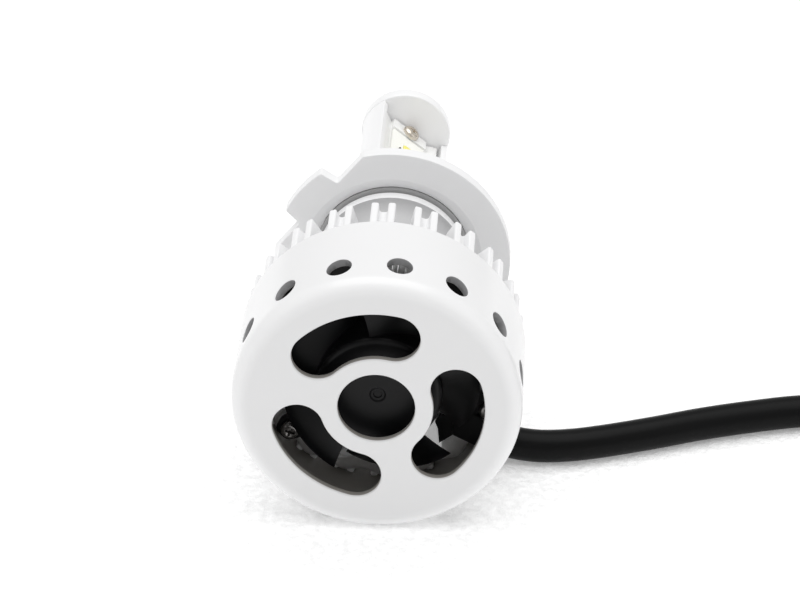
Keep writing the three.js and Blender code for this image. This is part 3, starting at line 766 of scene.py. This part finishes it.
def screw_shape(head, height, shank, length):
    """A pan-head screw with a cross recess. The head rises towards -Y from y = 0, and the shank runs to +Y."""
    shape = Shape()
    shares = ((1, 0), (1, 0.35), (0.94, 0.62), (0.8, 0.85), (0.64, 1))
    rings = shape.skin([[(x, -height * up, z) for x, z in circle(head * out, 40)] for out, up in shares])
    mouth = cross_outline(head * 0.52, head * 0.13)
    depth = height * 0.75
    levels = ((-height, 1), (-height + depth * 0.8, 0.7), (-height + depth, 0.5))
    recess = shape.skin([[(x * k, y, z * k) for x, z in mouth] for y, k in levels])
    shape.fill([rings[-1], recess[0]])
    shape.fill([recess[-1]])
    shaft = ((head, 0), (shank, 0), (shank, length))
    under = shape.skin([[(x, y, z) for x, z in circle(r, 40)] for r, y in shaft])
    shape.fill([under[-1]])
    return shape


def add_screw(name, matrix, sizes, mat, replaced, place=on_bulb):
    shape = Shape().add(screw_shape(*sizes), matrix)
    piece(name, shape, mat, place=place, replaces=(replaced,), sharp=40)


for i, angle in enumerate(SCREW_ANGLES, 1):
    x, z = polar(SCREW_CIRCLE, angle)
    matrix = move(x, 10.1, z) @ turn_y(20 * i)
    add_screw(f"fan_screw_head_{i}", matrix, (1.35, 1.0, 0.7, 4), DARK_STEEL, f"fan_screw_{i}")
for i in range(3):
    x, z = polar(9, CABLE_ANGLE + 60 + 120 * i)
    matrix = move(x, 25.05, z) @ turn_x(180) @ turn_y(17 * i)
    add_screw(f"neck_screw_head_{i + 1}", matrix, (1.35, 1.1, 0.75, 4.8), STEEL, f"neck_screw_{i + 1}")


# ---------------------------------------------------------------- fan
def hub_shape():
    """The rotor's cup, with a small dimple and ring in the middle of its face."""
    face, rim, outside, inside = 3.5, 9.4, 8.9, 8.05
    profile = [
        (0, 3.95, 0), (0.55, 3.95, 0.05), (0.62, 3.75, 0.05), (0.95, 3.75, 0.08), (1.15, face, 0.15),
        (outside, face, 0.8), (outside, rim, 0.15), (inside, rim, 0.1), (inside, 4.6, 0.3),
        (2, 4.6, 0.2), (2, 5.4, 0.1), (0.95, 5.4, 0), (0.95, 4.25, 0), (0, 4.25, 0),
    ]
    return lathe(rounded(profile, False, 4))


def blade_shape(first):
    """One swept blade: a thin wing from the hub to its tip, thicker at the root, with a rounded rim."""
    shape = Shape()
    along, out = 22, 8
    root, tip = 8.5, 14.0
    thick = 0.6
    loops = []
    for i in range(along + 1):
        share = i / along
        bend = share - 0.06 * math.sin(math.pi * share)
        sheets = ([], [])
        for j in range(out + 1):
            r = root + (tip - root) * j / out
            lag = 6 * (j / out) ** 1.5
            x, z = polar(r, first - 60 * share + lag * (0.5 - share))
            y = 4.05 + 5.0 * bend
            ends = min(1.0, 0.35 + 0.65 * math.sqrt(min(share, 1 - share) * 7))
            rim = 1.0 if j < out else 0.45
            half = 0.5 * thick * ends * rim * (1.15 - 0.25 * j / out)
            sheets[0].append((x, y + 0.3 - half, z))
            sheets[1].append((x, y + 0.3 + half, z))
        loops.append(sheets[0] + sheets[1][::-1])
    rings = shape.skin(loops)
    shape.fill([rings[0]])
    shape.fill([rings[-1]])
    return shape


rotor = hub_shape()
for i in range(5):
    rotor.add(blade_shape(-47 + 72 * i))
piece("rotor_with_blades", rotor, BLACK_PLASTIC, body="fan", replaces=("fan_rotor",), sharp=50)


def base_shape():
    """The fan's frame: a bearing tube on a disc, three legs, two sectors of a rim, and a wing with its web."""
    hub = [(1.95, 5.4, 0.05), (2.45, 5.4, 0.1), (2.45, 9.8, 0.2), (8.3, 9.8, 0.2), (8.3, 11, 0.15), (1.95, 11, 0.05)]
    shape = lathe(rounded(hub, True, 3), 96)
    half = [(7.6, 2.3, 0), (11, 1.6, 1.5), (SCREW_CIRCLE, 2, 0.6), (18.0, 1.2, 1.1)]
    leg = [(r, -t, f) for r, t, f in half] + half[::-1]
    for angle in SCREW_ANGLES:
        outline = rounded([(*turned(r, t, angle), f) for r, t, f in leg], True, 4)
        hole = circle(0.95, 24, *polar(SCREW_CIRCLE, angle))
        shape.add(prism(outline, 10.15, 10.98, 0.15, 2, [hole]))
    for first, last in ((22, 66), (99, 158)):
        outline = [*arc(0, 0, 17.7, first, last, 24), *arc(0, 0, 14.2, last, first, 24)]
        shape.add(prism(outline, 10.2, 10.9, 0.1, 2))
    wing = [(10.2, -7.4), (13.9, -6.6), (14.6, -9.5), (13.6, -12.3), (10.0, -10.4)]
    web = [(8.4, -7.3), (10.4, -8.2), (10.1, -10.7), (8.2, -12.1), (8.0, -9.7), (7.6, -8.6)]
    return shape.add(prism(wing, 10.15, 10.9, 0.1, 2)).add(prism(web, 10.5, 10.95, 0.1, 2))


piece("fan_frame", base_shape(), BLACK_SOFT, replaces=("fan_base",))


# ---------------------------------------------------------------- front body
WAIST, HUB_RADIUS, LIP_LOW, LIP_HIGH = 7.8, 10.8, 39.85, 41.3


def neck_shape():
    """A flange, a waist that flares out to a lip, the groove of the seal, and a boss for the lamp."""
    out, up = 2.7, 3.85
    angles = (0, 0.3, 0.6, 0.85, 1.1, 1.3, 1.45, 1.55)
    flare = [(WAIST + out - out * math.cos(t), 36 + up * math.sin(t), 0) for t in angles]
    profile = [
        (3, 23.1, 0), (11.8, 23.1, 0.25), (11.8, 25, 0.45), (WAIST, 25, 1.4), *flare,
        (HUB_RADIUS, LIP_LOW, 0.12), (HUB_RADIUS, LIP_HIGH, 0.12), (10.3, 41.4, 0.08), (10.3, 42.6, 0.08),
        (HUB_RADIUS, 42.7, 0.12), (HUB_RADIUS, 43.9, 0.25), (9.6, 43.9, 0.3), (9.6, 47.5, 0.3), (8.8, 48.3, 0.25),
        (3, 48.3, 0.1),
    ]
    return lathe(rounded(profile, True, 4), 144)


neck = piece("front_body", neck_shape(), NECK_WHITE_SHADED, replaces=("neck",), sharp=60)
# Painted highlight on the lip's faces; the rest of the neck keeps the darker white as painted shade.
neck.data.materials.append(LIP_WHITE_LIT)
for face in neck.data.polygons:
    if LIP_LOW + 0.02 < (face.center.y - REAR) / MM < LIP_HIGH + 0.05:
        face.material_index = 1


def collar_shape():
    """A disc with one straight side, a locating tab in its middle, and a wide bevel round its bore."""
    radius, flat, tab, rear, front = 17.2, 13.85, 4.4, 41, 43
    flat_end = math.degrees(math.acos(flat / radius))
    tab_end = math.degrees(math.asin((tab - 0.3) / radius))
    points = [(*p, 0) for p in arc(0, 0, radius, -180 + flat_end, 180 - flat_end, 110)]
    points[0] = (*points[0][:2], 0.5)
    points[-1] = (*points[-1][:2], 0.5)
    points += [(-flat, tab, 0.5)]
    tab_arc = arc(0, 0, radius, 180 - tab_end, 180 + tab_end, 12)
    points += [(*p, 0.45 if p in (tab_arc[0], tab_arc[-1]) else 0) for p in tab_arc]
    points += [(-flat, -tab, 0.5)]
    outline = rounded(points, True, 4)
    steps = ((rear, 13.1), (41.05, 13.0), (41.95, 11.4), (42.1, 11.32), (42.85, 11.32), (front, 11.5))
    bore = [(y, circle(r, 120)) for y, r in steps]
    return slab(walls(outline, rear, front, 0.14, 4), [bore])


piece(
    "keyed_collar", collar_shape(), COLLAR_GREY, body="collar", place=on_lamp,
    replaces=("mount_collar",), sharp=50,
)
# Painted shade: the seal ring's mid grey stands for the shadowed gap between the collar and the lip.
seal_profile = [(10.35, 41.6, 0.1), (11.28, 41.75, 0.08), (11.28, 42.4, 0.2), (10.35, 42.5, 0.1)]
seal = lathe(rounded(seal_profile, True, 4), 160)
piece("seal_ring", seal, SEAL_GAP_SHADE, replaces=("collar_o_ring",), sharp=180)


# ---------------------------------------------------------------- lamp tip
def sleeve_shape():
    """A tube with two side windows, which leave two posts. Local angle 0 and 180 are the posts' middles."""
    inner, outer, bevel = 5.8, 6.75, 0.12
    low, foot, top, half, steps = 48.5, 53.0, 78.9, 23.0, 30
    shape = Shape()

    def hoop(r, y):
        return [(x, y, z) for x, z in circle(r, 180)]

    shape.skin([
        hoop(outer, foot - bevel), hoop(outer, low + bevel), hoop(outer - bevel, low),
        hoop(inner + bevel, low), hoop(inner, low + bevel), hoop(inner, foot - bevel),
    ])
    for r1, r2 in ((outer, outer - bevel), (inner, inner + bevel)):
        shape.skin([hoop(r1, foot - bevel), hoop(r2, foot)])
    shape.skin([hoop(outer - bevel, foot), hoop(inner + bevel, foot)])
    corners = (0, steps, steps + 1, 2 * steps + 1)
    for middle in (0, 180):
        outline = arc(0, 0, outer, middle - half, middle + half, steps)
        outline += arc(0, 0, inner, middle + half, middle - half, steps)
        outline = rounded([(x, z, 0.14 if k in corners else 0) for k, (x, z) in enumerate(outline)], True, 3)
        shape.add(prism(outline, foot - 0.4, top, 0.05, 2))
    return shape


piece("lamp_tube", sleeve_shape(), TIP_GREY, place=on_lamp, replaces=("lamp_sleeve",))
TIP_RADIUS, TIP_LOW, TIP_HIGH = 6.85, 79, 81.6
tip_profile = [(0, TIP_LOW, 0), (TIP_RADIUS, TIP_LOW, 0.25), (TIP_RADIUS, TIP_HIGH, 0.9), (0, TIP_HIGH, 0)]
tip = lathe(rounded(tip_profile, False, 7), 144)
piece("tip_disc", tip, TIP_GREY, place=on_lamp, replaces=("tip_cap",))


def upright(outline, low, high, bevel=0.05):
    """An outline in the XY plane, raised from z = low to high."""
    shape = prism([(x, -y) for x, y in outline], low, high, bevel, 2)
    return Shape().add(shape, turn_x(90))


CHIP_FIRST, CHIP_STEP, CHIP_COUNT = 62.2, 4, 3
BLADE_SCREW_Y = 77.3


def light_blade_shape():
    """A thin bar with thick edges, and a pad on each face for the screw at its end."""
    half = [(5.2, 1.45, 0.15), (4.5, 1.25, 0.4), (3.3, 0.55, 0.3)]
    points = half + [(-x, z, f) for x, z, f in reversed(half)] + [(-5.4, 0, 0.3)]
    points += [(-x, -z, f) for x, z, f in half] + [(x, -z, f) for x, z, f in reversed(half)] + [(5.4, 0, 0.3)]
    blade = prism(rounded(points, True, 4), 48.7, 78.7, 0.1, 2)
    for low, high in ((0.4, 1.28), (-1.28, -0.4)):
        blade.add(upright([(x, y + 77.42) for x, y in rectangle(3.2, 1.22, 0.3)], low, high, 0.08))
    return blade


piece("light_blade", light_blade_shape(), BLADE_METAL, place=on_lamp, replaces=("led_blade",))


def side_turn(side):
    return turn_y(0 if side > 0 else 180)


def on_side(shape, side):
    return Shape().add(shape, side_turn(side))


def board_shape(side):
    outline = [(x, y + 62.8) for x, y in rectangle(3.0, 13.2, 0.3)]
    return on_side(upright(outline, 0.65, 1.05), side)


def chips_shape(side):
    shape = Shape()
    for k in range(CHIP_COUNT):
        y = CHIP_FIRST + CHIP_STEP * k
        loops = []
        for height, shrink in ((1.3, 0), (1.62, 0.02), (1.7, 0.1), (1.74, 0.24)):
            loops.append([(x, y + b, height) for x, b in rectangle(1.15 - shrink, 1.8 - shrink, 0.25)])
        rings = shape.skin(loops)
        shape.fill([rings[0]])
        shape.fill([rings[-1]])
    return on_side(shape, side)


def frames_shape(side):
    """White frames round the chips."""
    shape = Shape()
    for k in range(CHIP_COUNT):
        y = CHIP_FIRST + CHIP_STEP * k
        outer, inner = [
            [(x, -(y + b)) for x, b in rectangle(*sizes)] for sizes in ((1.45, 1.96, 0.2), (1.18, 1.83, 0.25))
        ]
        shape.add(prism(outer, 1.08, 1.55, 0.06, 2, [inner]), turn_x(90))
    return on_side(shape, side)


def spots_shape(side):
    """The small dark parts on a board."""
    spots = ((-1.62, 70.8, 0.14, 0.2), (1.9, 61.2, 0.3, 0.5), (-2.35, 58.4, 0.3, 0.5), (2.3, 55.0, 0.4, 0.4))
    shape = Shape()
    for x, y, a, b in spots:
        shape.add(upright([(x + p, y + q) for p, q in rectangle(a, b, 0.06)], 1.07, 1.4, 0.04))
    return on_side(shape, side)


for side, word in ((1, "upper"), (-1, "lower")):
    board, row = f"led_board_{word}", f"led_row_{word}"
    piece(f"board_{word}", board_shape(side), BOARD_WHITE, place=on_lamp, replaces=(board,))
    piece(f"chips_{word}", chips_shape(side), PHOSPHOR, place=on_lamp, replaces=(row,))
    piece(f"chip_frames_{word}", frames_shape(side), BOARD_WHITE, place=on_lamp)
    piece(f"board_parts_{word}", spots_shape(side), BLACK_SOFT, place=on_lamp)
    matrix = side_turn(side) @ move(0, BLADE_SCREW_Y, 1.3) @ turn_x(-90)
    if side > 0:
        add_screw("blade_screw_head", matrix, (1.35, 0.85, 0.5, 0.4), WARM_STEEL, "blade_screw", on_lamp)
    else:
        rivet = Shape().add(screw_shape(1.35, 0.7, 0.5, 0.4), matrix)
        piece("blade_rivet", rivet, WARM_STEEL, place=on_lamp)


# ---------------------------------------------------------------- cable exit
def outwards(degrees, y):
    """Turns a shape made along +Y so that it points out from the bulb's axis."""
    return move(0, y, 0) @ turn_y(-degrees) @ Matrix.Rotation(math.radians(-90), 4, "Z")


CABLE_BORE = LEAD_RADIUS + 0.07


def grommet_shape():
    profile = [(CABLE_BORE, 6.4, 0), (2.8, 6.4, 0.1), (2.8, 10.3, 0.05), (2.95, 10.35, 0.08), (2.95, 11.2, 0.15)]
    profile += [(2.7, 11.3, 0.06), (2.7, 11.5, 0.06), (2.82, 11.6, 0.06), (2.6, 12.2, 0.1), (CABLE_BORE, 12.2, 0)]
    return Shape().add(lathe(rounded(profile, True, 2), 64), outwards(CABLE_ANGLE, 19.4))


piece("exit_grommet", grommet_shape(), BLACK_RUBBER, replaces=("cable_grommet",))


# ---------------------------------------------------------------- driver
DRIVER_REAR, DRIVER_END = 4.5, 50.5
DRIVER_HALF, DRIVER_TALL = 13.0, 15.0
CAP_THICKNESS, CAP_GAP = 2.5, 0.1


def housing_shape():
    """A box section with six grooves along its top."""
    corner, wall, top, bottom = 1.6, 1.6, DRIVER_TALL, DRIVER_TALL - 0.7
    points = [(DRIVER_HALF, 0.0, corner), (DRIVER_HALF, top, corner)]
    for x in (7.5, 4.5, 1.5, -1.5, -4.5, -7.5):
        points += [(x + 0.6, top, 0.2), (x + 0.5, bottom, 0.2), (x - 0.5, bottom, 0.2), (x - 0.6, top, 0.2)]
    points += [(-DRIVER_HALF, top, corner), (-DRIVER_HALF, 0.0, corner)]
    outline = [(x + DRIVER_X, z) for x, z in rounded(points, True, 4)]
    inside = rectangle(DRIVER_HALF - wall, DRIVER_TALL / 2 - wall, 1, DRIVER_X, DRIVER_TALL / 2)
    return prism(outline, DRIVER_REAR, DRIVER_END, 0.15, 2, [inside])


piece("driver_body", housing_shape(), DRIVER_METAL, place=on_table, replaces=("driver_housing",))


def end_cap_shape(low, high):
    outline = rectangle(DRIVER_HALF - 0.1, DRIVER_TALL / 2 - 0.1, 1.8, DRIVER_X, DRIVER_TALL / 2)
    holes = [circle(3.2, 48, DRIVER_X, LEAD_HEIGHT)]
    holes += [circle(0.95, 24, DRIVER_X + s * 10, DRIVER_TALL / 2 - s * 4.6) for s in (-1, 1)]
    return prism(outline, low, high, 0.3, 3, holes)


for word, low in (("in", DRIVER_REAR - CAP_GAP - CAP_THICKNESS), ("out", DRIVER_END + CAP_GAP)):
    cap = end_cap_shape(low, low + CAP_THICKNESS)
    piece(f"driver_end_{word}", cap, BLACK_SOFT, place=on_table, replaces=(f"driver_cap_{word}",))


def gland_shape(plug_radius, plug, collar, end, length):
    """A strain relief: a plug that sits in a hole, a collar against the wall, and three ribs along the cable."""
    ribs, bore = 3, CABLE_BORE
    profile = [(bore, -plug, 0), (plug_radius, -plug, 0.1), (plug_radius, 0.1, 0.03)]
    profile += [(collar, 0.12, 0.15), (collar, 1.0, 0.3)]
    step = (length - 1.6) / ribs
    for k in range(ribs):
        r = end + 0.65 * (1 - (k + 0.5) / ribs)
        y = 1.5 + step * k
        profile += [(r - 0.3, y, 0.1), (r - 0.3, y + step * 0.3, 0.1)]
        profile += [(r, y + step * 0.42, 0.12), (r - 0.04, y + step * 0.9, 0.12)]
    profile += [(end, length, 0.12), (bore, length, 0)]
    return lathe(rounded(profile, True, 3), 64)


def add_gland(name, matrix, sizes, replaced):
    shape = Shape().add(gland_shape(*sizes), matrix)
    piece(name, shape, BLACK_RUBBER, place=on_table, replaces=(replaced,))


driver_gland = (3.1, 2.4, 4.4, 2.75, 6)
add_gland("driver_relief_in", move(DRIVER_X, 1.9, LEAD_HEIGHT) @ turn_x(180), driver_gland, "driver_gland_in")
add_gland("driver_relief_out", move(DRIVER_X, 53.1, LEAD_HEIGHT), driver_gland, "driver_gland_out")
for i, (y, side) in enumerate(((1.8, -1), (1.8, 1), (53.2, -1), (53.2, 1)), 1):
    matrix = move(DRIVER_X + side * 10, y, DRIVER_TALL / 2 - side * 4.6) @ turn_x(0 if y < 10 else 180) @ turn_y(23 * i)
    add_screw(f"driver_screw_head_{i}", matrix, (1.5, 0.9, 0.75, 2.2), STEEL, f"driver_screw_{i}", place=on_table)

# ---------------------------------------------------------------- plug
PLUG_TOP, PLUG_FRONT, PLUG_TALL = 35.0, 17.0, 9.0


def plug_shape():
    """A block with two slots in front, a hole for its seal, grip ribs and a latch on top."""
    middle = PLUG_TALL / 2
    slots = [rectangle(0.65, 3.4, 0.15, PLUG_X + s * 4, middle) for s in (-1, 1)]
    body = rectangle(7.5, 4.5, 1.2, PLUG_X, middle, 5)
    loops = walls(body, PLUG_FRONT, PLUG_TOP, 0.5, 4)
    shape = Shape()
    rings = shape.skin([[(x, y, z) for x, z in o] for y, o in loops])
    pockets = []
    for slot in slots:
        wall = [(PLUG_FRONT, inset(slot, -0.15)), (PLUG_FRONT + 0.15, slot), (PLUG_FRONT + 5, slot)]
        pockets.append(shape.skin([[(x, y, z) for x, z in o] for y, o in wall]))
    shape.fill([rings[0], *[p[0] for p in pockets]])
    for p in pockets:
        shape.fill([p[-1]])
    hole = circle(2.7, 40, PLUG_X, PLUG_LEAD_HEIGHT)
    levels = ((PLUG_TOP, inset(hole, -0.2)), (PLUG_TOP - 0.2, hole), (PLUG_TOP - 3.9, hole))
    socket = shape.skin([[(x, y, z) for x, z in o] for y, o in levels])
    shape.fill([rings[-1], socket[0]])
    shape.fill([socket[-1]])
    for y in (27.4, 29.2, 31, 32.8):
        shape.add(prism(rectangle(8.25, 3.1, 1.0, PLUG_X, middle), y - 0.5, y + 0.5, 0.3, 3))
    latch = prism(rectangle(2.4, 0.5, 0.25, PLUG_X, PLUG_TALL - 0.45), PLUG_FRONT + 1.5, PLUG_FRONT + 8.5, 0.2, 3)
    return shape.add(latch)


piece("plug_body", plug_shape(), BLACK_SOFT, place=on_table, replaces=("plug_housing",))
add_gland("plug_relief", move(PLUG_X, PLUG_TOP, PLUG_LEAD_HEIGHT), (2.62, 3.6, 3.4, 2.62, 5), "plug_seal")


def terminal_shape(side):
    """A flat contact blade with a pointed front end."""
    half, tip, back = 3.15, 8.5, 21.9
    points = [(-half, tip + 1.3, 0.2), (-half + 1.2, tip, 0.3), (half - 1.2, tip, 0.3), (half, tip + 1.3, 0.2)]
    points += [(half, back, 0.1), (-half, back, 0.1)]
    outline = rounded([(a, -b, f) for a, b, f in points], True, 3)
    flat = Shape().add(prism(outline, -0.4, 0.4, 0.16, 3, [circle(0.8, 24, 0, -12.8)]), turn_x(90))
    return Shape().add(flat, move(PLUG_X + side * 4, 0, PLUG_TALL / 2) @ turn_y(90))


for i, side in ((1, -1), (2, 1)):
    shape = terminal_shape(side)
    piece(f"plug_blade_{i}", shape, BRASS, place=on_table, replaces=(f"plug_terminal_{i}",))

# ---------------------------------------------------------------- hidden CAD solids
HIDDEN = {
    "lamp_lead_red": RED_JACKET, "lamp_lead_black": BLACK_RUBBER, "fan_lead": BLACK_RUBBER,
    "rotor_magnet": MAGNET, "fan_shaft": STEEL, "shaft_clip": STEEL, "fan_bearing": BRASS,
    "fan_circuit_board": BOARD_GREEN, "stator_core": STEEL,
    **{f"stator_coil_{i}": COPPER for i in range(1, 5)},
    "driver_board": BOARD_GREEN, "driver_inductor": COPPER, "driver_capacitor": WRAP,
}
for name, mat in HIDDEN.items():
    nodes[name].data.materials.clear()
    nodes[name].data.materials.append(mat)

# ---------------------------------------------------------------- the driver's pieces, listed
piece_named = bpy.data.objects
driver_parts = ["driver_body", "driver_end_in", "driver_end_out", "driver_relief_in", "driver_relief_out"]
driver_parts += [f"driver_screw_head_{i}" for i in range(1, 5)]
with_driver = [piece_named[n] for n in driver_parts]
with_driver += [nodes[n] for n in ("driver_board", "driver_inductor", "driver_capacitor")]


# ---------------------------------------------------------------- floor and light
def add_floor():
    mesh = bpy.data.meshes.new("floor")
    mesh.from_pydata([(-4, -3, 0), (4, -3, 0), (4, 5, 0), (-4, 5, 0)], [], [(0, 1, 2, 3)])
    mesh.materials.append(floor_material())
    floor = bpy.data.objects.new("floor", mesh)
    bpy.context.scene.collection.objects.link(floor)


def add_light(name, place, target, size, power):
    data = bpy.data.lights.new(name, "AREA")
    data.shape = "RECTANGLE"
    data.size, data.size_y = size
    data.energy = power
    lamp = bpy.data.objects.new(name, data)
    lamp.location = place
    lamp.rotation_euler = (Vector(target) - Vector(place)).to_track_quat("-Z", "Y").to_euler()
    bpy.context.scene.collection.objects.link(lamp)


add_floor()
world = bpy.data.worlds.new("studio")
world.use_nodes = True
world.node_tree.nodes["Background"].inputs["Color"].default_value = (1, 1, 1, 1)
world.node_tree.nodes["Background"].inputs["Strength"].default_value = 0.58
bpy.context.scene.world = world
add_light("overhead", (0.0, 0.0, 0.9), (0, 0, 0), (1.0, 1.0), 5.3)
add_light("left", (-0.85, -0.4, 0.4), (0, 0, 0.02), (0.6, 0.7), 0.35)
add_light("right", (0.85, -0.4, 0.4), (0, 0, 0.02), (0.6, 0.7), 0.6)

view = bpy.context.scene.view_settings
view.view_transform = "Standard"
view.look = "None"
view.exposure = 0.0
